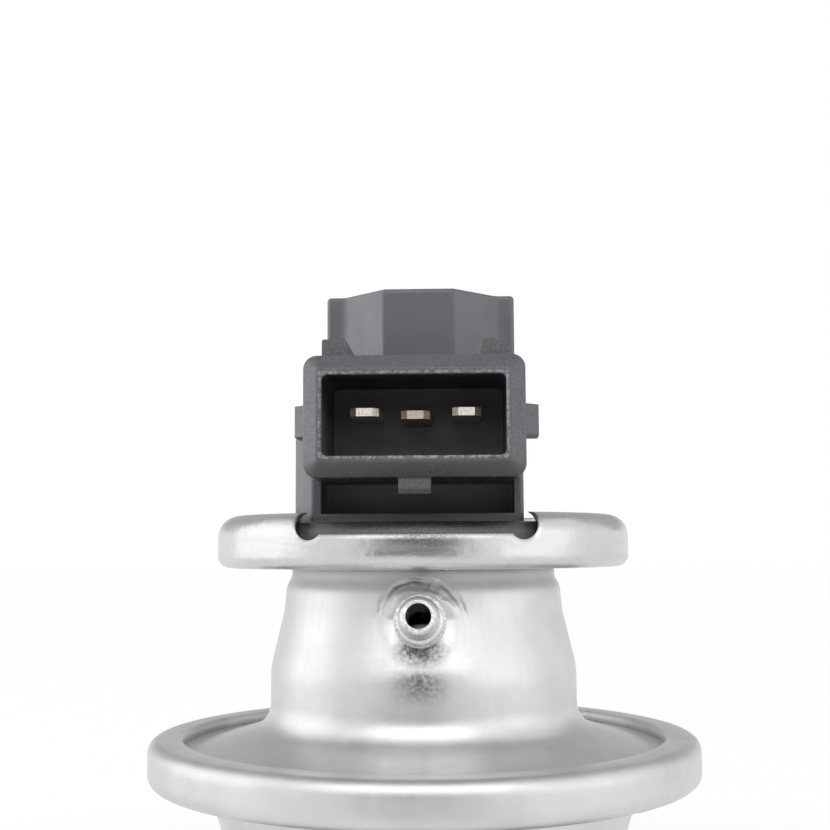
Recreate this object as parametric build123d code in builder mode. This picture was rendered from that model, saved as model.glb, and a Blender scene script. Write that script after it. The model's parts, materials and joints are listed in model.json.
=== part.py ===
"""Vacuum exhaust gas recirculation valve with a lift sensor, sizes in millimetres.

The origin is on the valve axis in the mounting face. The plug faces -Y and +Z is up.
"""

import os
from math import atan2, cos, radians, sin, tan

from build123d import *

os.makedirs("parts", exist_ok=True)

# Fits
running_fit = 0.04
drop_in_fit = 0.15
seat_gap = 0.10

# Valve travel, upward
lift = 6.0

# Valve body
base_thickness = 9.0
base_hub_radius = 21.0
base_ear_radius = 10.0
base_bolt_spacing = 60.0
base_bolt_hole_radius = 4.25
body_height = 34.5
barrel_wall = 5.0
web_thickness = 8.5
head_flange_radius = 19.0
head_flange_thickness = 4.5
inlet_radius = 12.5
inlet_depth = 4.0
outlet_radius = 7.5
outlet_recess_radius = 9.5
outlet_recess_depth = 6.0
outlet_face = 28.0
outlet_wall = 2.3
outlet_pad_thickness = 8.0
outlet_hub_radius = 13.5
outlet_ear_radius = 7.0
outlet_bolt_spacing = 40.0
outlet_bolt_hole_radius = 2.5
casting_radius = 1.5

# Valve seat, head and stem
seat_inner_radius = 8.5
seat_wall = 3.0
seat_height = 6.0
seat_chamfer = 1.2
head_land = 1.8
head_skirt = 1.5
head_hub_height = 5.0
stem_radius = 3.0
stem_end_radius = 2.0
rivet_radius = 4.0
rivet_height = 1.6
bush_wall = 2.5
bush_stand_out = 1.0
stem_seal_height = 1.4
stem_seal_wall = 2.0
seal_cap_sheet = 0.6

# Lower can and its screws
gasket_thickness = 1.5
lower_sheet = 1.2
lower_can_depth = 12.5
lower_can_foot_radius = 20.0
lower_can_mouth_radius = 23.5
rim_radius = 29.8
rim_fold = 3.6
vent_width = 9.0
vent_height = 4.4
vent_count = 3
screw_count = 3
screw_offset = 12.5
screw_radius = 2.5
screw_head_radius = 4.2
screw_head_height = 2.8
screw_end_wall = 2.5

# Diaphragm, plates and return spring
diaphragm_thickness = 1.2
diaphragm_slack = 0.2
diaphragm_clear = 1.5
diaphragm_roll = 4.6
plate_sheet = 1.0
plate_radius = 15.5
spring_cup_wall_radius = 14.5
spring_cup_wall_height = 3.0
spring_radius = 11.5
spring_wire_radius = 1.0
spring_turns = 6.0

# Vacuum can
can_sheet = 1.0
can_height = 20.3
neck_radius = 14.5
neck_height = 1.05
neck_round = 0.35
shoulder_round = 2.0
shoulder_radius = 15.1
shoulder_drop = 1.05
shoulder_land = 2.6
shoulder_spread = 0.22
dome_radius = 16.76
dome_drop = 10.8
dome_round = 8.0
flare_radius = 3.0
pan_rise = 2.5
pan_radius = 24.8

# Hose nipple in the front of the can
nipple_turn = 0.8
nipple_tilt = 8.0
nipple_drop = 5.3
nipple_pad_radius = 3.3
nipple_pad_slope = 25.0
nipple_pad_height = 0.25
nipple_length = 7.45
nipple_bore_radius = 1.22
nipple_tube_radius = 1.72
nipple_barb_radius = 2.05
nipple_step_radius = 2.25
nipple_collar_radius = 2.6
nipple_collar_height = 1.2
nipple_shank_radius = 2.0

# Crimped ring
ring_radius = 22.6
ring_height = 5.57
ring_sheet = 0.92
ring_lip_reach = 3.2
ring_top_round = 2.3
ring_bottom_round = 1.2
notch_half_width = 10.2
notch_depth = 2.17
notch_relief_radius = 1.4
notch_relief_lift = 0.86

# Sensor housing
nose_radius = 9.0
nose_depth = 4.0
nose_fit = 0.2
seal_ring_radius = 13.0
seal_section_radius = 0.8
tower_height = 24.95
tower_facet = 7.6
tower_flat_to_flat = 18.3
wing_half_width = 10.3
wing_half_depth = 4.5
tower_round = 0.45
wing_round = 0.8
well_half_width = 5.5
well_front = 6.0
well_roof = 2.3
sill_height = 0.85
pocket_height = 3.2
pocket_post = 0.95
pocket_depth = 6.0
body_front = 15.4
body_rear = 10.5
cheek_width = 12.64
cheek_set_back = 2.9
cheek_height = 10.2
body_round = 0.4

# Plug shroud
shroud_front = 24.0
shroud_half_width = 10.63
shroud_height = 11.77
shroud_wall_side = 1.89
shroud_wall_top = 2.015
shroud_bevel = 1.45
shroud_corner = 1.3
shroud_round = 0.4
rim_round = 0.2
plug_depth = 12.3
key_inner = 6.3
key_outer = 9.05
key_slope = 0.4
key_height = 1.88
key_round = 0.25
key_front = 20.5
tab_reach = 1.5
tab_land = 0.2
tab_height = 3.1
tab_front = 18.5
tab_length = 5.0
tab_round = 0.25
latch_width = 3.1
latch_height = 1.5
latch_front = 22.3
latch_bevel = 0.5
latch_length = 4.6

# Terminals and sensor inner parts
blade_width = 2.8
blade_thickness = 0.8
blade_tip_width = 1.6
blade_tip_length = 0.5
blade_pitch = 5.0
blade_recess = 4.4
blade_above_middle = 0.7
centre_blade_drop = 0.3
board_thickness = 1.0
board_half_width = 5.0
board_height = 20.0
guide_thickness = 2.5
guide_wall = 1.0
plunger_radius = 2.0
plunger_gap = 0.05
carrier_height = 6.0
carrier_clearance = 0.6
carrier_front = 3.4
contact_sheet = 0.3
contact_gap = 0.05
plunger_spring_radius = 3.0
plunger_spring_wire_radius = 0.3
plunger_spring_turns = 7.0

# Levels, from the mounting face upward
chamber_floor = inlet_depth + seat_height
chamber_ceiling = body_height - web_thickness
lower_can_base = body_height + gasket_thickness
lower_can_floor = lower_can_base + lower_sheet
rim_face = lower_can_base + lower_can_depth
can_base = rim_face + diaphragm_thickness
ring_base = can_base + can_height
disc_base = rim_face - lift - diaphragm_slack
disc_top = disc_base + diaphragm_thickness
washer_base = disc_base - plate_sheet
cup_floor = disc_top + plate_sheet
rivet_top = cup_floor + rivet_height
flange_base = ring_base + ring_sheet
flange_top = ring_base + ring_height - ring_sheet
nose_end = flange_base - nose_depth - can_sheet
tower_top = flange_top + tower_height
well_top = tower_top - well_roof
sill_top = flange_top + sill_height
shroud_base = sill_top + pocket_height
shroud_middle = shroud_base + shroud_height / 2
blade_level = shroud_middle + blade_above_middle

# Radii that follow from the sizes above
seat_bore_radius = seat_inner_radius + seat_wall
chamber_radius = seat_bore_radius + 0.5
barrel_radius = chamber_radius + barrel_wall
head_radius = seat_inner_radius + head_land
bush_radius = stem_radius + running_fit + bush_wall
stem_seal_radius = stem_radius + running_fit + stem_seal_wall
diaphragm_bend_radius = lower_can_mouth_radius - lower_sheet - diaphragm_clear
diaphragm_disc_radius = diaphragm_bend_radius - diaphragm_roll
clamped_radius = rim_radius - lower_sheet - drop_in_fit / 2
nose_hole_radius = nose_radius + nose_fit
flange_radius = ring_radius - ring_sheet - drop_in_fit
guide_radius = nose_radius - guide_wall

# Cast body with base flange, barrel, head flange and side outlet
outlet_level = (chamber_floor + chamber_ceiling) / 2
outlet_plane = Plane(origin=(0, outlet_face, outlet_level), x_dir=(-1, 0, 0), z_dir=(0, 1, 0))
with BuildPart() as valve_body:
    with BuildSketch():
        Circle(base_hub_radius)
        with Locations((-base_bolt_spacing / 2, 0), (base_bolt_spacing / 2, 0)):
            Circle(base_ear_radius)
        make_hull()
    extrude(amount=base_thickness)
    fillet(valve_body.faces().sort_by(Axis.Z)[-1].edges(), casting_radius)
    with BuildSketch(Plane.XY.offset(base_thickness)):
        Circle(barrel_radius)
    extrude(amount=body_height - base_thickness)
    foot = valve_body.edges().filter_by(GeomType.CIRCLE).filter_by_position(
        Axis.Z, base_thickness - 0.01, base_thickness + 0.01)
    fillet(foot.filter_by(lambda edge: abs(edge.radius - barrel_radius) < 0.01), casting_radius)
    with BuildSketch(Plane.XY.offset(body_height - head_flange_thickness)):
        Circle(head_flange_radius)
    extrude(amount=head_flange_thickness)
    with BuildSketch(outlet_plane):
        Circle(outlet_hub_radius)
        with Locations((-outlet_bolt_spacing / 2, 0), (outlet_bolt_spacing / 2, 0)):
            Circle(outlet_ear_radius)
        make_hull()
    extrude(amount=-outlet_pad_thickness)
    with BuildSketch(outlet_plane):
        Circle(outlet_recess_radius + outlet_wall)
    extrude(amount=chamber_radius + 1 - outlet_face)
    with BuildSketch():
        Circle(seat_bore_radius)
    extrude(amount=chamber_floor, mode=Mode.SUBTRACT)
    with BuildSketch():
        Circle(inlet_radius)
    extrude(amount=inlet_depth, mode=Mode.SUBTRACT)
    with BuildSketch(Plane.XY.offset(chamber_floor)):
        Circle(chamber_radius)
    extrude(amount=chamber_ceiling - chamber_floor, mode=Mode.SUBTRACT)
    with BuildSketch(outlet_plane):
        Circle(outlet_radius)
    extrude(amount=chamber_radius / 2 - outlet_face, mode=Mode.SUBTRACT)
    with BuildSketch(outlet_plane):
        Circle(outlet_recess_radius)
    extrude(amount=-outlet_recess_depth, mode=Mode.SUBTRACT)
    with BuildSketch(outlet_plane):
        with Locations((-outlet_bolt_spacing / 2, 0), (outlet_bolt_spacing / 2, 0)):
            Circle(outlet_bolt_hole_radius)
    extrude(amount=-outlet_pad_thickness, mode=Mode.SUBTRACT)
    with BuildSketch():
        with Locations((-base_bolt_spacing / 2, 0), (base_bolt_spacing / 2, 0)):
            Circle(base_bolt_hole_radius)
    extrude(amount=base_thickness, mode=Mode.SUBTRACT)
    with BuildSketch(Plane.XY.offset(body_height)):
        Circle(bush_radius)
    extrude(amount=-web_thickness, mode=Mode.SUBTRACT)
    with BuildSketch(Plane.XY.offset(body_height)):
        with PolarLocations(screw_offset, screw_count, start_angle=90):
            Circle(screw_radius)
    extrude(amount=2 - web_thickness, mode=Mode.SUBTRACT)
valve_body.part.label = "valve_body"
export_step(valve_body.part, "parts/valve_body.step")

# Hard ring pressed into the inlet from below
with BuildPart() as seat_ring:
    with BuildSketch(Plane.XZ):
        with BuildLine():
            Polyline(
                (seat_inner_radius, inlet_depth),
                (seat_bore_radius, inlet_depth),
                (seat_bore_radius, chamber_floor),
                (seat_inner_radius + seat_chamfer, chamber_floor),
                (seat_inner_radius, chamber_floor - seat_chamfer),
                close=True,
            )
        make_face()
    revolve(axis=Axis.Z)
seat_ring.part.label = "seat_ring"
export_step(seat_ring.part, "parts/seat_ring.step")

# Poppet, its cone parallel to the seat and lifted off it by the seat gap
cone_shift = chamber_floor - seat_inner_radius - seat_chamfer + seat_gap / cos(radians(45))
head_low_radius = seat_inner_radius - seat_gap
hub_top = chamber_floor + head_hub_height
with BuildPart() as valve_head:
    with BuildSketch(Plane.XZ):
        with BuildLine():
            Polyline(
                (stem_end_radius, head_low_radius + cone_shift - head_skirt),
                (head_low_radius - head_skirt, head_low_radius + cone_shift - head_skirt),
                (head_low_radius, head_low_radius + cone_shift),
                (head_radius, head_radius + cone_shift),
                (head_radius, chamber_floor + head_hub_height / 2),
                (stem_radius + head_skirt, hub_top - head_hub_height / 6),
                (stem_radius + head_skirt, hub_top),
                (stem_end_radius, hub_top),
                close=True,
            )
        make_face()
    revolve(axis=Axis.Z)
valve_head.part.label = "valve_head"
export_step(valve_head.part, "parts/valve_head.step")

# Stem with a spigot for the head below and a riveted end above
with BuildPart() as valve_stem:
    with BuildSketch(Plane.XZ):
        with BuildLine():
            Polyline(
                (0, head_low_radius + cone_shift - 1.5),
                (stem_end_radius, head_low_radius + cone_shift - 1.5),
                (stem_end_radius, hub_top),
                (stem_radius, hub_top),
                (stem_radius, washer_base),
                (stem_end_radius, washer_base),
                (stem_end_radius, cup_floor),
                (rivet_radius, cup_floor),
                (rivet_radius, cup_floor + rivet_height / 2),
                (rivet_radius - rivet_height / 2, rivet_top),
                (0, rivet_top),
                close=True,
            )
        make_face()
    revolve(axis=Axis.Z)
valve_stem.part.label = "valve_stem"
export_step(valve_stem.part, "parts/valve_stem.step")

# Guide bush pressed into the web
bush_top = lower_can_floor + bush_stand_out
with BuildPart() as stem_bush:
    with BuildSketch(Plane.XY.offset(chamber_ceiling - bush_stand_out)):
        Circle(bush_radius)
        Circle(stem_radius + running_fit, mode=Mode.SUBTRACT)
    extrude(amount=bush_top - chamber_ceiling + bush_stand_out)
stem_bush.part.label = "stem_bush"
export_step(stem_bush.part, "parts/stem_bush.step")

# Seal washer on top of the bush
with BuildPart() as stem_seal:
    with BuildSketch(Plane.XY.offset(bush_top)):
        Circle(stem_seal_radius)
        Circle(stem_radius + running_fit, mode=Mode.SUBTRACT)
    extrude(amount=stem_seal_height)
stem_seal.part.label = "stem_seal"
export_step(stem_seal.part, "parts/stem_seal.step")

# Cap that holds the seal down on the bush
cap_top = bush_top + stem_seal_height + seal_cap_sheet
with BuildPart() as seal_cap:
    with BuildSketch(Plane.XZ):
        with BuildLine():
            Polyline(
                (stem_radius + 0.4, cap_top),
                (bush_radius + seal_cap_sheet, cap_top),
                (bush_radius + seal_cap_sheet, lower_can_floor),
                (bush_radius, lower_can_floor),
                (bush_radius, cap_top - seal_cap_sheet),
                (stem_radius + 0.4, cap_top - seal_cap_sheet),
                close=True,
            )
        make_face()
    revolve(axis=Axis.Z)
seal_cap.part.label = "seal_cap"
export_step(seal_cap.part, "parts/seal_cap.step")

# Heat insulating gasket between body and lower can
with BuildPart() as body_gasket:
    with BuildSketch(Plane.XY.offset(body_height)):
        Circle(head_flange_radius)
        Circle(bush_radius + drop_in_fit, mode=Mode.SUBTRACT)
        with PolarLocations(screw_offset, screw_count, start_angle=90):
            Circle(screw_radius + drop_in_fit, mode=Mode.SUBTRACT)
    extrude(amount=gasket_thickness)
body_gasket.part.label = "body_gasket"
export_step(body_gasket.part, "parts/body_gasket.step")

# Lower can, its rim folded round the flange of the upper can
fold_base = can_base + can_sheet
fold_top = fold_base + lower_sheet
vent_level = (lower_can_floor + rim_face - lower_sheet) / 2
with BuildPart() as lower_can:
    with BuildSketch(Plane.XZ):
        with BuildLine():
            FilletPolyline(
                (bush_radius + drop_in_fit, lower_can_base),
                (lower_can_foot_radius, lower_can_base),
                (lower_can_mouth_radius, rim_face - lower_sheet),
                (rim_radius, rim_face - lower_sheet),
                (rim_radius, fold_top),
                (rim_radius - rim_fold, fold_top),
                radius=lower_sheet,
            )
            Line((rim_radius - rim_fold, fold_top), (rim_radius - rim_fold, fold_base))
            Polyline(
                (rim_radius - rim_fold, fold_base),
                (rim_radius - lower_sheet, fold_base),
                (rim_radius - lower_sheet, rim_face),
                (lower_can_mouth_radius - lower_sheet, rim_face),
                (lower_can_foot_radius - lower_sheet, lower_can_floor),
                (bush_radius + drop_in_fit, lower_can_floor),
                (bush_radius + drop_in_fit, lower_can_base),
            )
        make_face()
    revolve(axis=Axis.Z)
    with BuildSketch(Plane.XY.offset(lower_can_base)):
        with PolarLocations(screw_offset, screw_count, start_angle=90):
            Circle(screw_radius + drop_in_fit)
    extrude(amount=lower_sheet, mode=Mode.SUBTRACT)
    for vent in range(vent_count):
        with BuildSketch(Plane.XZ.rotated((0, 0, 360 * vent / vent_count)).offset(lower_can_foot_radius - 6)):
            with Locations((0, vent_level)):
                SlotOverall(vent_width, vent_height)
        extrude(amount=lower_can_mouth_radius - lower_can_foot_radius + 8, mode=Mode.SUBTRACT)
lower_can.part.label = "lower_can"
export_step(lower_can.part, "parts/lower_can.step")

# Three screws from inside the lower can into the body
screw_reach = lower_sheet + gasket_thickness + web_thickness - screw_end_wall
with BuildPart() as can_screws:
    with BuildSketch(Plane.XY.offset(lower_can_floor)):
        with PolarLocations(screw_offset, screw_count, start_angle=90):
            Circle(screw_head_radius)
    extrude(amount=screw_head_height)
    fillet(can_screws.edges().group_by(Axis.Z)[-1], screw_head_height / 4)
    with BuildSketch(Plane.XY.offset(lower_can_floor)):
        with PolarLocations(screw_offset, screw_count, start_angle=90):
            Circle(screw_radius)
    extrude(amount=-screw_reach)
    with BuildSketch(Plane.XY.offset(lower_can_floor + screw_head_height)):
        with PolarLocations(screw_offset, screw_count, start_angle=90):
            RegularPolygon(radius=screw_head_radius / 2, side_count=6)
    extrude(amount=-screw_head_height / 2, mode=Mode.SUBTRACT)
can_screws.part.label = "can_screws"
export_step(can_screws.part, "parts/can_screws.step")

# Rubber membrane, clamped at the rim and resting low with the valve closed
slope = atan2(lift + diaphragm_slack, diaphragm_bend_radius - diaphragm_disc_radius)
bend_shift = diaphragm_thickness * tan(slope / 2)
disc_hole_radius = stem_end_radius + drop_in_fit
with BuildPart() as diaphragm:
    with BuildSketch(Plane.XZ):
        with BuildLine():
            FilletPolyline(
                (disc_hole_radius, disc_top),
                (diaphragm_disc_radius, disc_top),
                (diaphragm_bend_radius, can_base),
                (clamped_radius, can_base),
                radius=diaphragm_thickness,
            )
            Line((clamped_radius, can_base), (clamped_radius, rim_face))
            FilletPolyline(
                (clamped_radius, rim_face),
                (diaphragm_bend_radius + bend_shift, rim_face),
                (diaphragm_disc_radius + bend_shift, disc_base),
                (disc_hole_radius, disc_base),
                radius=diaphragm_thickness,
            )
            Line((disc_hole_radius, disc_base), (disc_hole_radius, disc_top))
        make_face()
    revolve(axis=Axis.Z)
diaphragm.part.label = "diaphragm"
export_step(diaphragm.part, "parts/diaphragm.step")

# Washer under the diaphragm
with BuildPart() as diaphragm_washer:
    with BuildSketch(Plane.XY.offset(washer_base)):
        Circle(plate_radius)
        Circle(stem_end_radius, mode=Mode.SUBTRACT)
    extrude(amount=plate_sheet)
    fillet(diaphragm_washer.edges().filter_by_position(Axis.Z, washer_base - 0.01, washer_base + 0.01)
           .sort_by(SortBy.RADIUS)[-1], plate_sheet / 2)
diaphragm_washer.part.label = "diaphragm_washer"
export_step(diaphragm_washer.part, "parts/diaphragm_washer.step")

# Plate on top of the diaphragm with a wall that centres the spring
with BuildPart() as spring_cup:
    with BuildSketch(Plane.XZ):
        with BuildLine():
            Polyline(
                (stem_end_radius, disc_top),
                (plate_radius, disc_top),
                (plate_radius, cup_floor),
                (spring_cup_wall_radius, cup_floor),
                (spring_cup_wall_radius, cup_floor + spring_cup_wall_height),
                (spring_cup_wall_radius - plate_sheet, cup_floor + spring_cup_wall_height),
                (spring_cup_wall_radius - plate_sheet, cup_floor),
                (stem_end_radius, cup_floor),
                close=True,
            )
        make_face()
    revolve(axis=Axis.Z)
spring_cup.part.label = "spring_cup"
export_step(spring_cup.part, "parts/spring_cup.step")

# Return spring with ground ends
spring_top = ring_base - can_sheet
spring_length = spring_top - cup_floor
with BuildPart() as return_spring:
    with BuildLine() as coil:
        Helix(spring_length / spring_turns, spring_length, spring_radius, center=(0, 0, cup_floor))
    with BuildSketch(Plane(origin=coil.line @ 0, z_dir=coil.line % 0)):
        Circle(spring_wire_radius)
    sweep(is_frenet=True)
    split(bisect_by=Plane.XY.offset(cup_floor), keep=Keep.TOP)
    split(bisect_by=Plane.XY.offset(spring_top), keep=Keep.BOTTOM)
return_spring.part.label = "return_spring"
export_step(return_spring.part, "parts/return_spring.step")

# Levels and outline of the drawn can, outer skin first, then inner skin
neck_end = ring_base - neck_height
shoulder_level = neck_end - shoulder_drop
cone_top = shoulder_level - shoulder_land
cone_top_radius = shoulder_radius + shoulder_spread
cone_end = ring_base - dome_drop
pan_level = can_base + can_sheet
cone_rate = (dome_radius - cone_top_radius) / (cone_top - cone_end)

# Nipple axis, square to the cone wall at the nipple's level
nipple_level = ring_base - nipple_drop
nipple_wall_radius = cone_top_radius + cone_rate * (cone_top - nipple_level)
turn = radians(nipple_turn)
tilt = radians(nipple_tilt)
nipple_axis = Vector(sin(turn) * cos(tilt), -cos(turn) * cos(tilt), sin(tilt))
nipple_foot = Vector(sin(turn) * nipple_wall_radius, -cos(turn) * nipple_wall_radius, nipple_level)
nipple_plane = Plane(origin=nipple_foot, x_dir=(cos(turn), sin(turn), 0), z_dir=nipple_axis)
nipple_face = nipple_plane.offset(nipple_pad_height)

# Drawn can with neck, shoulder, cone, flared pan and flange
with BuildPart() as vacuum_can:
    with BuildSketch(Plane.XZ):
        with BuildLine():
            FilletPolyline(
                (nose_hole_radius, ring_base),
                (neck_radius, ring_base),
                (neck_radius, neck_end),
                (shoulder_radius, shoulder_level),
                (cone_top_radius, cone_top),
                radius=[neck_round, shoulder_round, shoulder_round],
            )
            FilletPolyline(
                (cone_top_radius, cone_top),
                (dome_radius, cone_end),
                (dome_radius, pan_level + pan_rise),
                (pan_radius, pan_level),
                (clamped_radius, pan_level),
                radius=[dome_round, flare_radius, flare_radius],
            )
            Line((clamped_radius, pan_level), (clamped_radius, can_base))
            FilletPolyline(
                (clamped_radius, can_base),
                (pan_radius - can_sheet / 4, can_base),
                (dome_radius - can_sheet, can_base + pan_rise),
                (dome_radius - can_sheet, cone_end),
                (cone_top_radius - can_sheet, cone_top),
                radius=[flare_radius, flare_radius, dome_round],
            )
            Polyline(
                (cone_top_radius - can_sheet, cone_top),
                (shoulder_radius - can_sheet, shoulder_level),
                (neck_radius - can_sheet, neck_end),
                (neck_radius - can_sheet, ring_base - can_sheet),
                (nose_hole_radius, ring_base - can_sheet),
                (nose_hole_radius, ring_base),
            )
        make_face()
    revolve(axis=Axis.Z)
    pad_root = can_sheet / 2
    pad_spread = (nipple_pad_height + pad_root) * tan(radians(nipple_pad_slope))
    with BuildSketch(nipple_plane.offset(-pad_root)):
        Circle(nipple_pad_radius + pad_spread)
    extrude(amount=nipple_pad_height + pad_root, taper=nipple_pad_slope)
    with BuildSketch(nipple_face):
        Circle(nipple_shank_radius)
    extrude(amount=-nipple_pad_height - can_sheet * 2, mode=Mode.SUBTRACT)
vacuum_can.part.label = "vacuum_can"
export_step(vacuum_can.part, "parts/vacuum_can.step")

# Turned hose spigot, its shank through the can wall
shank_end = -nipple_pad_height - can_sheet - 0.6
barb_start = nipple_length * 0.5
barb_end = nipple_length * 0.72
nipple_section = Plane(origin=nipple_face.origin, x_dir=nipple_axis, z_dir=nipple_face.x_dir)
with BuildPart() as vacuum_nipple:
    with BuildSketch(nipple_section):
        with BuildLine():
            Polyline(
                (shank_end, nipple_bore_radius),
                (shank_end, nipple_shank_radius),
                (0, nipple_shank_radius),
                (0, nipple_collar_radius),
                (nipple_collar_height, nipple_collar_radius),
                (nipple_collar_height, nipple_step_radius),
                (nipple_collar_height * 1.7, nipple_step_radius),
                (nipple_collar_height * 2, nipple_tube_radius),
                (barb_start - 0.2, nipple_tube_radius),
                (barb_start, nipple_barb_radius),
                (barb_end, nipple_barb_radius),
                (nipple_length - 0.25, nipple_tube_radius),
                (nipple_length, nipple_tube_radius - 0.2),
                (nipple_length, nipple_bore_radius),
                close=True,
            )
        make_face()
    revolve(axis=Axis(nipple_face.origin, nipple_axis))
vacuum_nipple.part.label = "vacuum_nipple"
export_step(vacuum_nipple.part, "parts/vacuum_nipple.step")

# Plated cup, its wall rolled inward over the sensor flange
ring_top = ring_base + ring_height
ring_half = ring_base + ring_height * 0.45
lip_radius = ring_radius - ring_lip_reach
notch_floor = ring_top - notch_depth
with BuildPart() as crimp_ring:
    with BuildSketch(Plane.XZ):
        with BuildLine():
            FilletPolyline(
                (nose_hole_radius, ring_base),
                (ring_radius, ring_base),
                (ring_radius, ring_half),
                radius=ring_bottom_round,
            )
            FilletPolyline(
                (ring_radius, ring_half),
                (ring_radius, ring_top),
                (lip_radius, ring_top),
                radius=ring_top_round,
            )
            Line((lip_radius, ring_top), (lip_radius, flange_top))
            FilletPolyline(
                (lip_radius, flange_top),
                (ring_radius - ring_sheet, flange_top),
                (ring_radius - ring_sheet, ring_half),
                radius=ring_top_round - ring_sheet,
            )
            FilletPolyline(
                (ring_radius - ring_sheet, ring_half),
                (ring_radius - ring_sheet, flange_base),
                (nose_hole_radius, flange_base),
                radius=ring_bottom_round / 3,
            )
            Line((nose_hole_radius, flange_base), (nose_hole_radius, ring_base))
        make_face()
    revolve(axis=Axis.Z)
    with BuildSketch(Plane.XZ):
        with Locations((0, notch_floor)):
            Rectangle(2 * notch_half_width, ring_height, align=(Align.CENTER, Align.MIN))
        with Locations((-notch_half_width - 0.2, notch_floor + notch_relief_lift)):
            Circle(notch_relief_radius)
        with Locations((notch_half_width + 0.2, notch_floor + notch_relief_lift)):
            Circle(notch_relief_radius)
    extrude(amount=ring_radius + 1, mode=Mode.SUBTRACT)
crimp_ring.part.label = "crimp_ring"
export_step(crimp_ring.part, "parts/crimp_ring.step")

# Rubber ring in the flange groove
with BuildPart() as sensor_seal:
    with BuildSketch(Plane.XZ):
        with Locations((seal_ring_radius, flange_base + seal_section_radius)):
            Circle(seal_section_radius)
    revolve(axis=Axis.Z)
sensor_seal.part.label = "sensor_seal"
export_step(sensor_seal.part, "parts/sensor_seal.step")

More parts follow.
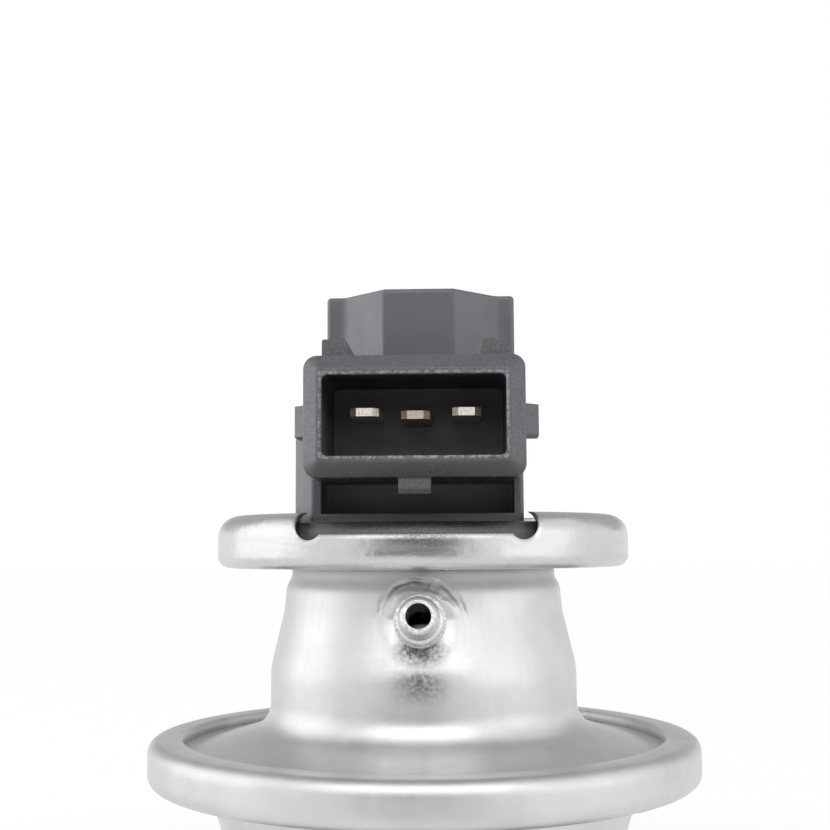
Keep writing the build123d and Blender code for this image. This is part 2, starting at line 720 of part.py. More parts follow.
# Moulded sensor body with tower, plug shroud, keys, tabs, latch nub and inner well
facet_end = tower_facet / 2 + tower_flat_to_flat / 2 - wing_half_depth
shroud_top = shroud_base + shroud_height
shroud_plane = Plane.XZ.offset(shroud_front)
blade_back = shroud_front - plug_depth
centre_blade_level = blade_level - centre_blade_drop
with BuildPart() as sensor_housing:
    with BuildSketch(Plane.XY.offset(flange_top)) as tower_sketch:
        with BuildLine():
            Polyline(
                (-wing_half_width, -wing_half_depth),
                (-facet_end, -wing_half_depth),
                (-tower_facet / 2, -tower_flat_to_flat / 2),
                (tower_facet / 2, -tower_flat_to_flat / 2),
                (facet_end, -wing_half_depth),
                (wing_half_width, -wing_half_depth),
                (wing_half_width, wing_half_depth),
                (facet_end, wing_half_depth),
                (tower_facet / 2, tower_flat_to_flat / 2),
                (-tower_facet / 2, tower_flat_to_flat / 2),
                (-facet_end, wing_half_depth),
                (-wing_half_width, wing_half_depth),
                close=True,
            )
        make_face()
        inner_corners = tower_sketch.vertices().filter_by(
            lambda corner: abs(abs(corner.X) - facet_end) < 0.01)
        fillet(inner_corners, wing_round)
        outer_corners = tower_sketch.vertices().filter_by(
            lambda corner: abs(corner.X) < tower_facet / 2 + 0.01 or abs(corner.X) > wing_half_width - 0.01)
        fillet(outer_corners, tower_round)
    extrude(amount=tower_height)
    fillet(sensor_housing.faces().sort_by(Axis.Z)[-1].edges(), tower_round)
    with BuildSketch(Plane.XZ.offset(wing_half_depth)):
        with Locations((0, shroud_middle)):
            RectangleRounded(2 * shroud_half_width, shroud_height, shroud_corner)
    extrude(amount=shroud_front - shroud_bevel - wing_half_depth)
    with BuildSketch(Plane.XZ.offset(shroud_front - shroud_bevel)):
        with Locations((0, shroud_middle)):
            RectangleRounded(2 * shroud_half_width, shroud_height, shroud_corner)
    with BuildSketch(shroud_plane):
        with Locations((0, shroud_middle)):
            RectangleRounded(
                2 * (shroud_half_width - shroud_bevel),
                shroud_height - 2 * shroud_bevel,
                shroud_corner / 4,
            )
    loft(ruled=True)
    bevel_start = shroud_bevel - shroud_front
    bevel_edges = sensor_housing.edges().filter_by_position(Axis.Y, bevel_start - 0.01, bevel_start + 0.01)
    fillet(bevel_edges, shroud_round)
    fillet(sensor_housing.faces().sort_by(Axis.Y)[0].edges(), rim_round)
    with BuildSketch(Plane.XY.offset(flange_top)):
        with BuildLine():
            Polyline(
                (-shroud_half_width, -body_front),
                (shroud_half_width, -body_front),
                (shroud_half_width, body_rear - 2),
                (shroud_half_width - 2, body_rear),
                (4 - cheek_width, body_rear),
                (-cheek_width, body_rear - 4),
                (-cheek_width, cheek_set_back - body_front),
                close=True,
            )
        body_outline = make_face()
        fillet(body_outline.vertices(), body_round)
    extrude(amount=cheek_height)
    with BuildSketch(Plane.XY.offset(flange_base)):
        Circle(flange_radius)
    extrude(amount=flange_top - flange_base)
    flange_edge = sensor_housing.edges().filter_by(GeomType.CIRCLE).sort_by(SortBy.RADIUS)[-2:]
    fillet(flange_edge.sort_by(Axis.Z)[-1], ring_top_round - ring_sheet + drop_in_fit)
    flange_edge = sensor_housing.edges().filter_by_position(Axis.Z, flange_base - 0.01, flange_base + 0.01)
    fillet(flange_edge, ring_bottom_round / 3 + drop_in_fit)
    with BuildSketch(Plane.XY.offset(nose_end)):
        Circle(nose_radius)
    extrude(amount=flange_base - nose_end)
    for side in (-1, 1):
        with BuildSketch(Plane.XZ.offset(key_front)):
            with BuildLine():
                Polyline(
                    (side * key_inner, shroud_top - 0.5),
                    (side * key_outer, shroud_top - 0.5),
                    (side * key_outer, shroud_top + key_height),
                    (side * (key_inner + key_slope), shroud_top + key_height),
                    close=True,
                )
            key_outline = make_face()
            fillet(key_outline.vertices().group_by(Axis.Z)[-1], key_round)
        extrude(amount=wing_half_depth - key_front)
        with BuildSketch(Plane.XY.offset(shroud_middle - tab_height / 2)):
            with BuildLine():
                Polyline(
                    (side * shroud_half_width / 2, -tab_front),
                    (side * (shroud_half_width + tab_land), -tab_front),
                    (side * (shroud_half_width + tab_reach), tab_reach - tab_land - tab_front),
                    (side * (shroud_half_width + tab_reach), tab_length - tab_front),
                    (side * shroud_half_width / 2, tab_length - tab_front),
                    close=True,
                )
            tab_outline = make_face()
            fillet(tab_outline.vertices().filter_by(
                lambda corner: abs(corner.X) > shroud_half_width), tab_round)
        extrude(amount=tab_height)
    with BuildSketch(Plane.YZ.offset(-latch_width / 2)):
        with BuildLine():
            Polyline(
                (-latch_front, shroud_base + shroud_wall_top / 2),
                (-latch_front, shroud_base - latch_height + latch_bevel),
                (latch_bevel - latch_front, shroud_base - latch_height),
                (latch_length - latch_front, shroud_base - latch_height),
                (latch_length - latch_front, shroud_base + shroud_wall_top / 2),
                close=True,
            )
        make_face()
    extrude(amount=latch_width)
    with BuildSketch(shroud_plane):
        with Locations((0, shroud_middle)):
            RectangleRounded(
                2 * (shroud_half_width - shroud_wall_side),
                shroud_height - 2 * shroud_wall_top,
                shroud_corner / 2,
            )
    extrude(amount=-plug_depth, mode=Mode.SUBTRACT)
    with BuildSketch(Plane.XZ.offset(body_front)):
        with Locations((0, sill_top)):
            Rectangle(
                2 * (shroud_half_width - pocket_post), pocket_height, align=(Align.CENTER, Align.MIN))
    extrude(amount=-pocket_depth, mode=Mode.SUBTRACT)
    with BuildSketch(Plane.XY.offset(nose_end)):
        with Locations((0, (well_half_width - well_front) / 2)):
            RectangleRounded(2 * well_half_width, well_half_width + well_front, 0.4)
    extrude(amount=well_top - nose_end, mode=Mode.SUBTRACT)
    with BuildSketch(Plane.XY.offset(nose_end)):
        Circle(guide_radius)
    extrude(amount=guide_thickness, mode=Mode.SUBTRACT)
    with BuildSketch(Plane.XY.offset(flange_base)):
        Circle(seal_ring_radius + seal_section_radius + drop_in_fit)
        Circle(seal_ring_radius - seal_section_radius - drop_in_fit, mode=Mode.SUBTRACT)
    extrude(amount=2 * seal_section_radius, mode=Mode.SUBTRACT)
    with BuildSketch(Plane.XZ.offset(blade_back)):
        with Locations((-blade_pitch, blade_level), (0, centre_blade_level), (blade_pitch, blade_level)):
            Rectangle(blade_width, blade_thickness)
    extrude(amount=well_front - blade_back, mode=Mode.SUBTRACT)
sensor_housing.part.label = "sensor_housing"
export_step(sensor_housing.part, "parts/sensor_housing.step")

# Plug blades with tapered tips, moulded into the wall behind the plug space
blade_tip = shroud_front - blade_recess


def blade_outline(middle):
    """Corners of a blade seen from above, round from its root."""
    return [
        (middle - blade_width / 2, -well_front),
        (middle - blade_width / 2, blade_tip_length - blade_tip),
        (middle - blade_tip_width / 2, -blade_tip),
        (middle + blade_tip_width / 2, -blade_tip),
        (middle + blade_width / 2, blade_tip_length - blade_tip),
        (middle + blade_width / 2, -well_front),
    ]


with BuildPart() as terminal_left:
    with BuildSketch(Plane.XY.offset(blade_level - blade_thickness / 2)):
        with BuildLine():
            Polyline(*blade_outline(-blade_pitch), close=True)
        make_face()
    extrude(amount=blade_thickness)
terminal_left.part.label = "terminal_left"
export_step(terminal_left.part, "parts/terminal_left.step")

with BuildPart() as terminal_centre:
    with BuildSketch(Plane.XY.offset(centre_blade_level - blade_thickness / 2)):
        with BuildLine():
            Polyline(*blade_outline(0), close=True)
        make_face()
    extrude(amount=blade_thickness)
terminal_centre.part.label = "terminal_centre"
export_step(terminal_centre.part, "parts/terminal_centre.step")

with BuildPart() as terminal_right:
    with BuildSketch(Plane.XY.offset(blade_level - blade_thickness / 2)):
        with BuildLine():
            Polyline(*blade_outline(blade_pitch), close=True)
        make_face()
    extrude(amount=blade_thickness)
terminal_right.part.label = "terminal_right"
export_step(terminal_right.part, "parts/terminal_right.step")

# Resistance track on the front wall of the well
board_base = blade_level - board_height / 2 - 0.5
with BuildPart() as track_board:
    with BuildSketch(Plane.XZ.offset(well_front)):
        with Locations((0, board_base)):
            Rectangle(2 * board_half_width, board_height, align=(Align.CENTER, Align.MIN))
    extrude(amount=-board_thickness)
track_board.part.label = "track_board"
export_step(track_board.part, "parts/track_board.step")

# Slider on the plunger
carrier_base = flange_top + 1.4
carrier_top = carrier_base + carrier_height
carrier_half = well_half_width - carrier_clearance
with BuildPart() as wiper_carrier:
    with BuildSketch(Plane.XY.offset(carrier_base)):
        with Locations((0, (carrier_half - carrier_front) / 2)):
            RectangleRounded(2 * carrier_half, carrier_half + carrier_front, 0.8)
    extrude(amount=carrier_height)
    with BuildSketch(Plane.XY.offset(carrier_base)):
        Circle(plunger_radius)
    extrude(amount=carrier_height - 2, mode=Mode.SUBTRACT)
wiper_carrier.part.label = "wiper_carrier"
export_step(wiper_carrier.part, "parts/wiper_carrier.step")

# Bent spring contact on the slider, just clear of the track
contact_front = well_front - board_thickness - contact_gap
with BuildPart() as wiper_contact:
    with BuildSketch(Plane.YZ):
        with BuildLine():
            Polyline(
                (-carrier_front, carrier_base + 1.0),
                (-carrier_front, carrier_base + 5.0),
                (-carrier_front - contact_sheet, carrier_base + 5.0),
                (-contact_front, carrier_base + 3.0),
                (-contact_front + contact_sheet, carrier_base + 2.2),
                (-contact_front + 2 * contact_sheet, carrier_base + 2.4),
                (-contact_front + contact_sheet * 1.2, carrier_base + 3.0),
                (-carrier_front - contact_sheet, carrier_base + 4.5),
                (-carrier_front - contact_sheet, carrier_base + 1.0),
                close=True,
            )
        make_face()
    extrude(amount=board_half_width * 0.6, both=True)
wiper_contact.part.label = "wiper_contact"
export_step(wiper_contact.part, "parts/wiper_contact.step")

# Plunger between the stem and the slider
with BuildPart() as sensor_plunger:
    with BuildSketch(Plane.XY.offset(rivet_top + plunger_gap)):
        Circle(plunger_radius)
    extrude(amount=carrier_top - 2 - rivet_top - plunger_gap)
    fillet(sensor_plunger.edges().group_by(Axis.Z)[0], plunger_radius * 0.4)
sensor_plunger.part.label = "sensor_plunger"
export_step(sensor_plunger.part, "parts/sensor_plunger.step")

# Spring above the slider, with ground ends
plunger_spring_length = well_top - carrier_top
with BuildPart() as plunger_spring:
    with BuildLine() as small_coil:
        Helix(
            plunger_spring_length / plunger_spring_turns,
            plunger_spring_length,
            plunger_spring_radius,
            center=(0, 0, carrier_top),
        )
    with BuildSketch(Plane(origin=small_coil.line @ 0, z_dir=small_coil.line % 0)):
        Circle(plunger_spring_wire_radius)
    sweep(is_frenet=True)
    split(bisect_by=Plane.XY.offset(carrier_top), keep=Keep.TOP)
    split(bisect_by=Plane.XY.offset(well_top), keep=Keep.BOTTOM)
plunger_spring.part.label = "plunger_spring"
export_step(plunger_spring.part, "parts/plunger_spring.step")

# Guide disc pressed into the sensor nose
with BuildPart() as plunger_guide:
    with BuildSketch(Plane.XY.offset(nose_end)):
        Circle(guide_radius)
        Circle(plunger_radius + running_fit, mode=Mode.SUBTRACT)
    extrude(amount=guide_thickness)
plunger_guide.part.label = "plunger_guide"
export_step(plunger_guide.part, "parts/plunger_guide.step")
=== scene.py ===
import json
import math

import bpy
from mathutils import Matrix, Vector


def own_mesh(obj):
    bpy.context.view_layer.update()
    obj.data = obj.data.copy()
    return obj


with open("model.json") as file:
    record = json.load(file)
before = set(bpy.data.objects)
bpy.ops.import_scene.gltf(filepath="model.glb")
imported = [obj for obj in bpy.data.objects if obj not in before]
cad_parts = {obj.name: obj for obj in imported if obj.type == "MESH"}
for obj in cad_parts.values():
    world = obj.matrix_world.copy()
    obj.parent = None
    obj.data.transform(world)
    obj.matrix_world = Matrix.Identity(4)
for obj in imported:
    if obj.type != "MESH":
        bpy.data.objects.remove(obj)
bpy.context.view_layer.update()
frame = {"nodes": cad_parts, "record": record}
nodes = frame["nodes"]
scene = bpy.context.scene
scene.view_settings.view_transform = "Standard"
MM = 0.001

# Places and sizes on the object that the materials follow, in its own frame
PLUG_MIDDLE = 84.585 * MM
PLUG_HALF_WIDTH = 8.74 * MM
PLUG_HALF_HEIGHT = 3.87 * MM
PLUG_FACE = -23.4 * MM
LATCH_MIDDLE = 77.85 * MM
LATCH_HALF_HEIGHT = 0.85 * MM
LATCH_HALF_WIDTH = 1.56 * MM
SCUFF_MIDDLE = (1.0 * MM, 73.3 * MM)
NIPPLE_MIDDLE = (0.23 * MM, 64.7 * MM)
CONE_SLOPE = 0.236
SHOULDER_SLOPE = 0.085

# The photograph's camera: width and focal length in pixels, and where it stands and looks
PHOTO_WIDTH = 830
FOCAL_LENGTH = 1276.03
CAMERA_DISTANCE = 143.208 * MM
CAMERA_HEIGHT = 72.486 * MM
CAMERA_AZIMUTH, CAMERA_PITCH, CAMERA_PAN, CAMERA_ROLL = 1.978, 5.758, 0.326, -0.286

AIM = (0, 0, 70 * MM)
FLOOR_HALF = 4.0
FLOOR_FADE = (0.08, 0.24)


class Paint:
    """A node material under construction, in the object's own coordinates in metres."""

    def __init__(self, name):
        self.material = bpy.data.materials.new(name)
        self.material.use_nodes = True
        self.tree = self.material.node_tree
        self.tree.nodes.clear()
        self.shader = self.tree.nodes.new("ShaderNodeBsdfPrincipled")
        self.surface = self.tree.nodes.new("ShaderNodeOutputMaterial").inputs[0]
        self.tree.links.new(self.shader.outputs[0], self.surface)
        self.place = self.tree.nodes.new("ShaderNodeTexCoord").outputs["Object"]

    def set(self, node, key, value):
        if hasattr(value, "is_linked"):
            self.tree.links.new(value, node.inputs[key])
        else:
            node.inputs[key].default_value = value

    def add(self, kind, out=0, props=(), **values):
        node = self.tree.nodes.new(kind)
        for key, value in dict(props).items():
            setattr(node, key, value)
        for key, value in values.items():
            self.set(node, int(key[1:]) if key[1:].isdigit() else key.replace("_", " "), value)
        return node.outputs[out]

    def math(self, op, a, b=0.0):
        return self.add("ShaderNodeMath", props={"operation": op}, i0=a, i1=b)

    def stretch(self, x, y, z):
        return self.add("ShaderNodeMapping", Vector=self.place, Scale=(x, y, z))

    def noise(self, scale, detail=3.0, rough=0.5, vector=None):
        return self.add("ShaderNodeTexNoise", Vector=vector or self.place,
                        Scale=scale, Detail=detail, Roughness=rough)

    def remap(self, value, a, b, c=0.0, d=1.0, kind="LINEAR"):
        """A value between a and b, carried to between c and d and held there."""
        return self.add("ShaderNodeMapRange", props={"interpolation_type": kind},
                        Value=value, From_Min=a, From_Max=b, To_Min=c, To_Max=d)

    def ease(self, value, a, b, c=0.0, d=1.0):
        """As remap, with soft ends."""
        return self.remap(value, a, b, c, d, "SMOOTHSTEP")

    def blend(self, share, a, b):
        """Colour a where share is 0 and colour b where it is 1."""
        node = self.tree.nodes.new("ShaderNodeMix")
        node.data_type = "RGBA"
        self.set(node, 0, share)
        self.set(node, 6, a)
        self.set(node, 7, b)
        return node.outputs[2]

    def ramp(self, value, *stops):
        node = self.tree.nodes.new("ShaderNodeValToRGB")
        self.set(node, 0, value)
        spots = node.color_ramp.elements
        while len(spots) < len(stops):
            spots.new(0.5)
        for spot, (at, colour) in zip(spots, stops):
            spot.position = at
            spot.color = (*colour, 1.0)
        return node.outputs[0]

    def split(self):
        node = self.tree.nodes.new("ShaderNodeSeparateXYZ")
        self.set(node, 0, self.place)
        return node.outputs

    def away(self, a, b):
        """Length of the hypotenuse over a and b."""
        return self.math("SQRT", self.math("ADD", self.times(a, a), self.times(b, b)))

    def round_about(self):
        """Angle about the axis, height and distance from the axis."""
        x, y, z = self.split()
        angle = self.math("ARCTAN2", y, x)
        return angle, z, self.away(x, y)

    def join(self, x, y, z):
        return self.add("ShaderNodeCombineXYZ", i0=x, i1=y, i2=z)

    def edged(self, radius):
        """The surface normal with its edges rounded over this radius."""
        return self.add("ShaderNodeBevel", props={"samples": 6}, Radius=radius)

    def times(self, first, *rest):
        for value in rest:
            first = self.math("MULTIPLY", first, value)
        return first

    def most(self, first, *rest):
        for value in rest:
            first = self.math("MAXIMUM", first, value)
        return first

    def less(self, a, b):
        return self.math("SUBTRACT", a, b)

    def gap(self, a, b=0.0):
        """Distance between two values on a line."""
        return self.math("ABSOLUTE", self.less(a, b))

    def bump(self, height, distance, strength=1.0, normal=None):
        node = self.tree.nodes.new("ShaderNodeBump")
        self.set(node, "Height", height)
        self.set(node, "Distance", distance)
        self.set(node, "Strength", strength)
        if normal is not None:
            self.set(node, "Normal", normal)
        return node.outputs[0]

    def finish(self, colour, rough, metal=0.0, normal=None, **more):
        self.set(self.shader, "Base Color", colour)
        self.set(self.shader, "Roughness", rough)
        self.set(self.shader, "Metallic", metal)
        if normal is not None:
            self.set(self.shader, "Normal", normal)
        for key, value in more.items():
            self.set(self.shader, key.replace("_", " "), value)
        return self.material


def moulded_plastic():
    p = Paint("sensor_plastic")
    x, y, z = p.split()
    front = p.remap(y, -20 * MM, -13 * MM, 1.0, 0.0)
    cloud = p.noise(420, 5, 0.6)
    grain = p.noise(6600, 3, 0.75, p.stretch(0.8, 1.0, 1.25))
    flow = p.noise(700, 3, 0.6, p.stretch(1.6, 1.6, 0.4))
    base = p.ramp(cloud, (0.30, (0.072, 0.076, 0.086)), (0.70, (0.086, 0.091, 0.102)))

    # Painted shade on the lower front, but not on the latch
    off_latch = p.most(p.remap(p.gap(x), LATCH_HALF_WIDTH, LATCH_HALF_WIDTH + 0.1 * MM),
                       p.remap(p.gap(z, LATCH_MIDDLE), LATCH_HALF_HEIGHT, LATCH_HALF_HEIGHT + 0.1 * MM))
    low = p.times(p.remap(z, 79.2 * MM, 81.2 * MM, 1.0, 0.0), front, off_latch)
    pits = p.times(p.remap(grain, 0.36, 0.56, 0.75, 0.0), front)

    # Distance outside the mouth of the plug, and painted shade inside it, darker towards the top
    mouth = p.most(p.less(p.gap(x), PLUG_HALF_WIDTH), p.less(p.gap(z, PLUG_MIDDLE), PLUG_HALF_HEIGHT))
    inside = p.times(p.remap(mouth, 0.0, 0.1 * MM, 1.0, 0.0),
                     p.remap(y, PLUG_FACE - 0.2 * MM, PLUG_FACE + 0.2 * MM))
    cavity_shade = p.times(inside, p.remap(z, 82.5 * MM, 86.5 * MM))
    # Painted shade on the lower front and inside the mouth, with the dark pits of the grain
    painted_shade_and_pits = p.most(p.times(low, 0.85), pits, cavity_shade, p.times(inside, 0.2))
    base = p.blend(painted_shade_and_pits, base, (0.010, 0.011, 0.013, 1))

    # Light grains, and a painted highlight along the edge of the mouth
    speck = p.times(p.remap(grain, 0.54, 0.74), front, p.remap(p.most(low, inside), 0.0, 1.0, 0.6, 0.2))
    painted_rim_highlight = p.times(p.remap(p.gap(mouth, 0.12 * MM), 0.05 * MM, 0.24 * MM, 1.0, 0.0),
                   p.remap(y, PLUG_FACE, PLUG_FACE + 0.4 * MM, 1.0, 0.0),
                   p.remap(p.noise(2400, 3, 0.75), 0.44, 0.58))
    colour = p.blend(painted_rim_highlight, p.blend(speck, base, (0.22, 0.225, 0.24, 1)), (0.30, 0.305, 0.32, 1))
    rough = p.less(p.remap(flow, 0.3, 0.7, 0.38, 0.50), p.times(low, 0.17))
    depth = p.remap(front, 0.0, 1.0, 0.3, 1.0)
    normal = p.bump(grain, 0.00005, depth, p.bump(flow, 0.00003, 0.35, p.edged(0.22 * MM)))
    return p.finish(colour, rough, 0.0, normal, IOR=1.75)


def zinc_ring():
    p = Paint("ring_zinc")
    x, y, z = p.split()
    angle, height, radius = p.round_about()
    streak = p.noise(1.0, 4, 0.6, p.join(p.times(angle, 3.0), p.times(height, 1500.0), radius))
    cloud = p.noise(170, 4, 0.55)
    speck = p.noise(2600, 3, 0.6)
    spread = p.away(p.times(p.less(x, SCUFF_MIDDLE[0]), 0.35), p.less(z, SCUFF_MIDDLE[1]))
    scuff = p.times(p.ease(spread, 0.2 * MM, 2.0 * MM, 1.0, 0.0), p.remap(y, -21 * MM, -18 * MM, 1.0, 0.0),
                    p.remap(p.noise(5200, 3, 0.7), 0.36, 0.64))
    colour = p.ramp(cloud, (0.30, (0.595, 0.60, 0.58)), (0.70, (0.665, 0.67, 0.655)))
    colour = p.blend(scuff, colour, (0.17, 0.17, 0.168, 1))
    rough = p.remap(streak, 0.3, 0.7, 0.23, 0.34)
    dents = p.bump(cloud, 0.0004, 0.5, p.edged(0.8 * MM))
    normal = p.bump(speck, 0.000012, 0.5, p.bump(streak, 0.00002, 0.4, dents))
    return p.finish(colour, rough, 1.0, normal)


def nipple_surround(p, radius):
    """Rounded normal of the can, folds pressed in it above the nipple, and a painted dark reflection under
    the nipple.
    """
    x, y, z = p.split()
    across = p.less(x, NIPPLE_MIDDLE[0])
    above = p.less(z, NIPPLE_MIDDLE[1])
    far = p.away(across, above)
    fore = p.remap(y, -13 * MM, -11 * MM, 1.0, 0.0)

    # Round the nipple the low pad is shaded as part of the wall
    slope = p.remap(z, 64.0 * MM, 66.6 * MM, CONE_SLOPE, SHOULDER_SLOPE)
    wall = p.add("ShaderNodeVectorMath", props={"operation": "NORMALIZE"},
                 i0=p.join(x, y, p.times(radius, slope)))
    skin = p.tree.nodes.new("ShaderNodeMix")
    skin.data_type = "VECTOR"
    p.set(skin, 0, p.times(p.ease(far, 3.4 * MM, 4.6 * MM, 1.0, 0.0), fore))
    p.set(skin, 4, p.edged(1.4 * MM))
    p.set(skin, 5, wall)

    uneven = p.math("ADD", far, p.remap(p.noise(330, 2), 0.3, 0.7, -0.35 * MM, 0.35 * MM))
    hump = p.ease(uneven, 3.1 * MM, 3.9 * MM, 1.0, 0.0)
    crease = p.ease(p.gap(uneven, 4.2 * MM), 0.0, 0.45 * MM, 0.6, 0.0)
    fold = p.times(p.less(hump, crease), p.ease(above, 0.2 * MM, 2.6 * MM), fore)

    # Painted reflection: a dark wedge under the nipple, and a dark patch lower down on the front
    below = p.most(p.times(above, -1.0), 0.1 * MM)
    wedge = p.remap(p.math("DIVIDE", p.gap(across), below), 0.55, 1.35, 1.0, 0.0)
    under = p.times(wedge, p.remap(above, -1.2 * MM, -0.6 * MM, 1.0, 0.0),
                    p.ease(far, 2.9 * MM, 5.0 * MM, 1.0, 0.0), fore)
    foot = p.times(p.ease(p.gap(across), 0.2 * MM, 3.6 * MM, 0.85, 0.0),
                   p.ease(above, -5.4 * MM, -4.3 * MM, 1.0, 0.0), p.ease(above, -8.5 * MM, -5.8 * MM), fore)
    painted_reflection = p.times(p.most(under, foot), p.remap(p.noise(2200, 3, 0.65), 0.34, 0.60, 0.25, 1.0))
    return skin.outputs[1], fold, painted_reflection


def drawn_steel(name, low, high, rough_low, rough_high, pressed=False):
    p = Paint(name)
    angle, height, radius = p.round_about()
    draw = p.noise(1.0, 4, 0.6, p.join(p.times(angle, 30.0), p.times(height, 120.0), radius))
    cloud = p.noise(150, 4, 0.55)
    speck = p.noise(3000, 3, 0.6)
    colour = p.ramp(cloud, (0.30, low), (0.70, high))
    rough = p.remap(draw, 0.3, 0.7, rough_low, rough_high)
    if pressed:
        skin, fold, painted_reflection = nipple_surround(p, radius)
        # The painted reflection darkens the can under the nipple
        colour = p.blend(painted_reflection, colour, (0.12, 0.12, 0.12, 1))
        normal = p.bump(fold, 0.0004, 1.0, p.bump(cloud, 0.0003, 0.4, skin))
    else:
        normal = p.bump(cloud, 0.0003, 0.4)
    normal = p.bump(speck, 0.000012, 0.5, p.bump(draw, 0.00002, 0.15, normal))
    return p.finish(colour, rough, 1.0, normal)


def turned_metal(name, low, high, rough_low, rough_high):
    p = Paint(name)
    cloud = p.noise(900, 4, 0.6)
    ring = p.noise(2400, 3, 0.6)
    colour = p.ramp(cloud, (0.30, low), (0.70, high))
    rough = p.remap(ring, 0.3, 0.7, rough_low, rough_high)
    normal = p.bump(ring, 0.00002, 0.5)
    return p.finish(colour, rough, 1.0, normal)


def lathe_turned(name, low, high):
    p = Paint(name)
    groove = p.noise(1.0, 3, 0.6, p.stretch(260, 5200, 900))
    grain = p.noise(4200, 3, 0.65)
    colour = p.ramp(grain, (0.30, low), (0.66, high))
    rough = p.remap(groove, 0.3, 0.7, 0.30, 0.46)
    normal = p.bump(grain, 0.00004, 0.6, p.bump(groove, 0.00006, 0.8))
    return p.finish(colour, rough, 1.0, normal)


def tinned_blade():
    p = Paint("terminal_tin")
    grain = p.noise(5000, 3, 0.7)
    # Painted shade: the middle blade is coloured darker than the blades beside it
    outer_blades = p.remap(p.gap(p.split()[0]), 2.0 * MM, 3.0 * MM)
    tin_with_painted_shade = p.blend(outer_blades, (0.66, 0.56, 0.48, 1), (0.97, 0.93, 0.88, 1))
    colour = p.blend(p.remap(grain, 0.40, 0.56, 0.45, 0.0), tin_with_painted_shade, (0.40, 0.32, 0.26, 1))
    normal = p.bump(grain, 0.00003, 0.6)
    return p.finish(colour, p.remap(grain, 0.3, 0.7, 0.38, 0.52), 1.0, normal)


def cast_metal():
    p = Paint("casting")
    sand = p.noise(1500, 4, 0.65)
    cloud = p.noise(120, 4, 0.55)
    colour = p.ramp(cloud, (0.30, (0.19, 0.175, 0.16)), (0.70, (0.30, 0.285, 0.27)))
    rough = p.remap(sand, 0.3, 0.7, 0.55, 0.75)
    normal = p.bump(sand, 0.0002, 0.8)
    return p.finish(colour, rough, 0.75, normal)


def soft_matt(name, low, high, rough, fine=2200, depth=0.00003):
    p = Paint(name)
    cloud = p.noise(300, 4, 0.55)
    grain = p.noise(fine, 3, 0.6)
    colour = p.ramp(cloud, (0.30, low), (0.70, high))
    normal = p.bump(grain, depth, 0.7)
    return p.finish(colour, p.remap(grain, 0.3, 0.7, rough - 0.05, rough + 0.05), 0.0, normal)


paints = {
    "casting": cast_metal(),
    "hard_steel": turned_metal("hard_steel", (0.42, 0.42, 0.43), (0.52, 0.52, 0.53), 0.22, 0.34),
    "bush_bronze": turned_metal("bush_bronze", (0.48, 0.31, 0.15), (0.60, 0.40, 0.20), 0.28, 0.42),
    "stem_seal_carbon": soft_matt("stem_seal_carbon", (0.03, 0.03, 0.03), (0.06, 0.06, 0.06), 0.5),
    "spring_steel": turned_metal("spring_steel", (0.36, 0.36, 0.38), (0.46, 0.46, 0.48), 0.28, 0.40),
    "gasket_board": soft_matt("gasket_board", (0.22, 0.20, 0.17), (0.34, 0.31, 0.27), 0.8, 1500, 0.0001),
    "can_steel": drawn_steel("can_steel", (0.61, 0.61, 0.608), (0.69, 0.69, 0.688), 0.34, 0.44, True),
    "screw_steel": turned_metal("screw_steel", (0.48, 0.48, 0.46), (0.58, 0.58, 0.56), 0.30, 0.42),
    "black_rubber": soft_matt("black_rubber", (0.02, 0.02, 0.02), (0.04, 0.04, 0.04), 0.65),
    "plate_steel": drawn_steel("plate_steel", (0.56, 0.55, 0.50), (0.66, 0.65, 0.60), 0.30, 0.42),
    "nipple_steel": lathe_turned("nipple_steel", (0.55, 0.55, 0.545), (0.90, 0.90, 0.895)),
    "ring_zinc": zinc_ring(),
    "sensor_plastic": moulded_plastic(),
    "terminal_tin": tinned_blade(),
    "track_ceramic": soft_matt("track_ceramic", (0.72, 0.72, 0.70), (0.82, 0.82, 0.80), 0.4),
    "slider_plastic": soft_matt("slider_plastic", (0.66, 0.65, 0.59), (0.76, 0.75, 0.69), 0.45),
    "contact_bronze": turned_metal("contact_bronze", (0.52, 0.36, 0.16), (0.64, 0.46, 0.24), 0.26, 0.38),
}
for part in frame["record"]["subparts"]:
    thing = nodes[part["node"]]
    thing.data.materials.clear()
    thing.data.materials.append(paints[part["material_slot"]])


def camera():
    azimuth, pitch = math.radians(CAMERA_AZIMUTH), math.radians(CAMERA_PITCH)
    pan, roll = math.radians(CAMERA_PAN), math.radians(CAMERA_ROLL)
    heading = azimuth + pan
    ahead = Vector((-math.sin(heading), math.cos(heading), 0))
    side = Vector((ahead.y, -ahead.x, 0))
    up = Vector((0, 0, 1))
    look = ahead * math.cos(pitch) + up * math.sin(pitch)
    top = up * math.cos(pitch) - ahead * math.sin(pitch)
    right = side * math.cos(roll) + top * math.sin(roll)
    top = top * math.cos(roll) - side * math.sin(roll)
    data = bpy.data.cameras.new("camera")
    data.lens = FOCAL_LENGTH / PHOTO_WIDTH * data.sensor_width
    data.clip_start, data.clip_end = 0.005, 50
    thing = bpy.data.objects.new("camera", data)
    scene.collection.objects.link(thing)
    spot = Vector((CAMERA_DISTANCE * math.sin(azimuth), -CAMERA_DISTANCE * math.cos(azimuth), CAMERA_HEIGHT))
    turn = Matrix((right, top, -look)).transposed().to_4x4()
    thing.matrix_world = Matrix.Translation(spot) @ turn
    scene.camera = thing


def aim(thing, place):
    """Put a thing at a place, facing the middle of the object."""
    scene.collection.objects.link(thing)
    thing.location = place
    thing.rotation_euler = (Vector(AIM) - Vector(place)).to_track_quat("-Z", "Y").to_euler()


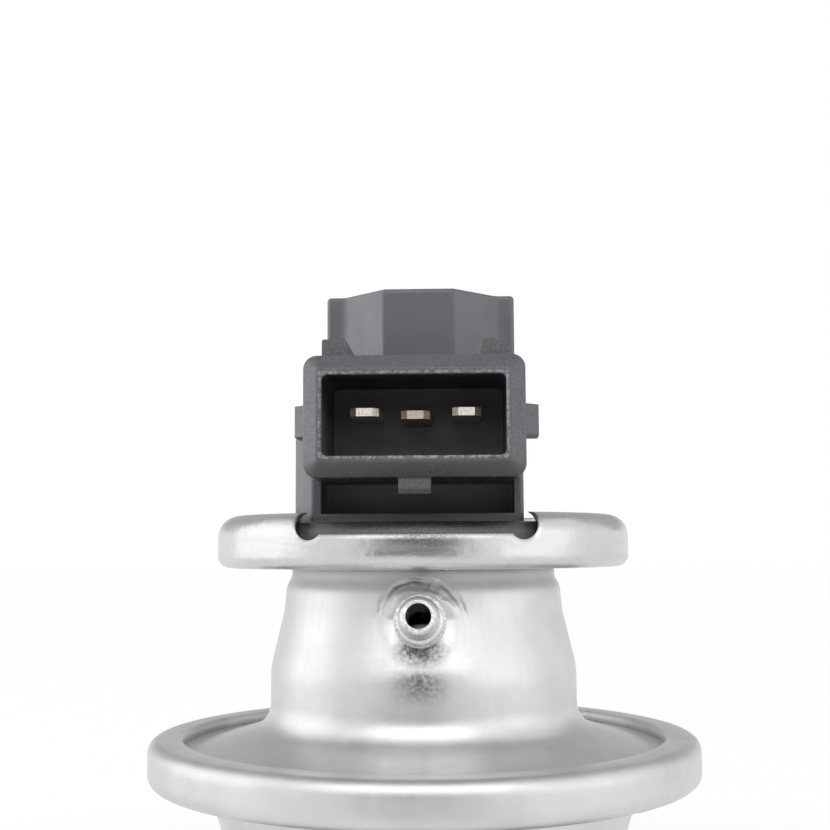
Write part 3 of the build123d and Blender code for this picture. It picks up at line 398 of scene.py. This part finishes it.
def sheet(name, width, depth):
    """A flat rectangle about the origin, made as an object that isn't linked yet."""
    mesh = bpy.data.meshes.new(name)
    w, d = width / 2, depth / 2
    mesh.from_pydata([(-w, -d, 0), (w, -d, 0), (w, d, 0), (-w, d, 0)], [], [(0, 1, 2, 3)])
    return bpy.data.objects.new(name, mesh)


def lamp(name, place, size, radiance, mirrored=True):
    data = bpy.data.lights.new(name, "AREA")
    data.shape = "RECTANGLE"
    data.size, data.size_y = size
    data.energy = radiance * math.pi * size[0] * size[1]
    thing = bpy.data.objects.new(name, data)
    aim(thing, place)
    thing.visible_camera = False
    thing.visible_glossy = mirrored


def card(name, place, size, grey):
    """A grey board that only mirror-like surfaces see."""
    thing = sheet(name, *size)
    aim(thing, place)
    p = Paint(name)
    shade = p.ramp(p.noise(4, 2), (0.3, (grey * 0.9,) * 3), (0.7, (grey * 1.1,) * 3))
    p.tree.links.new(p.add("ShaderNodeEmission", Color=shade, Strength=1.0), p.surface)
    thing.data.materials.append(p.material)
    thing.visible_camera = False
    thing.visible_diffuse = False
    thing.visible_shadow = False


def white_seen(tree):
    """One for camera, glossy and transmission rays, which see the white ground, and nought for the rest."""
    path = tree.nodes.new("ShaderNodeLightPath")
    seen = path.outputs["Is Camera Ray"]
    for key in ("Is Glossy Ray", "Is Transmission Ray"):
        node = tree.nodes.new("ShaderNodeMath")
        node.operation = "MAXIMUM"
        tree.links.new(seen, node.inputs[0])
        tree.links.new(path.outputs[key], node.inputs[1])
        seen = node.outputs[0]
    return seen


def surroundings():
    """White where it is seen, and soft even light from everywhere."""
    world = bpy.data.worlds.new("studio")
    scene.world = world
    world.use_nodes = True
    tree = world.node_tree
    tree.nodes.clear()
    mix = tree.nodes.new("ShaderNodeMixShader")
    tree.links.new(white_seen(tree), mix.inputs[0])
    for socket, strength in ((1, 0.20), (2, 1.0)):
        ground = tree.nodes.new("ShaderNodeBackground")
        ground.inputs[0].default_value = (1, 1, 1, 1)
        ground.inputs[1].default_value = strength
        tree.links.new(ground.outputs[0], mix.inputs[socket])
    tree.links.new(mix.outputs[0], tree.nodes.new("ShaderNodeOutputWorld").inputs[0])


def pale_floor():
    """A pale floor that fades to white away from the object."""
    floor = sheet("floor", 2 * FLOOR_HALF, 2 * FLOOR_HALF)
    scene.collection.objects.link(floor)
    p = Paint("floor")
    p.finish(p.ramp(p.noise(3, 3), (0.3, (0.50, 0.50, 0.50)), (0.7, (0.53, 0.53, 0.53))), 0.7)
    x, y, z = p.split()
    path = p.tree.nodes.new("ShaderNodeLightPath").outputs
    white = p.times(path["Is Camera Ray"], p.ease(p.away(x, y), *FLOOR_FADE, 0.45, 0.99))
    for key in ("Is Glossy Ray", "Is Transmission Ray"):
        white = p.most(white, p.times(path[key], 0.9))
    mix = p.tree.nodes.new("ShaderNodeMixShader")
    p.set(mix, 0, white)
    p.set(mix, 1, p.shader.outputs[0])
    p.set(mix, 2, p.add("ShaderNodeEmission"))
    p.tree.links.new(mix.outputs[0], p.surface)
    floor.data.materials.append(p.material)


def studio():
    surroundings()
    pale_floor()
    lamp("left", (-0.50, 0.02, 0.20), (0.48, 0.45), 0.60)
    lamp("left_key", (-0.70, 0.05, 0.35), (0.30, 0.30), 34.0, False)
    lamp("front", (0.0, -0.50, 0.48), (0.85, 0.50), 1.5)
    lamp("right", (0.50, -0.22, 0.15), (0.46, 0.35), 0.48)
    lamp("right_key", (0.70, -0.10, 0.30), (0.30, 0.30), 9.0, False)
    card("front_card", (-0.02, -0.50, 0.065), (0.46, 0.26), 0.14)
    card("top_card", (0, 0.25, 0.90), (1.20, 0.90), 0.45)
    card("back_card", (0, 0.80, 0.55), (2.20, 0.70), 0.50)


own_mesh(nodes["return_spring"])
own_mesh(nodes["diaphragm"])
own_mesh(nodes["plunger_spring"])
camera()
studio()
bpy.context.view_layer.update()
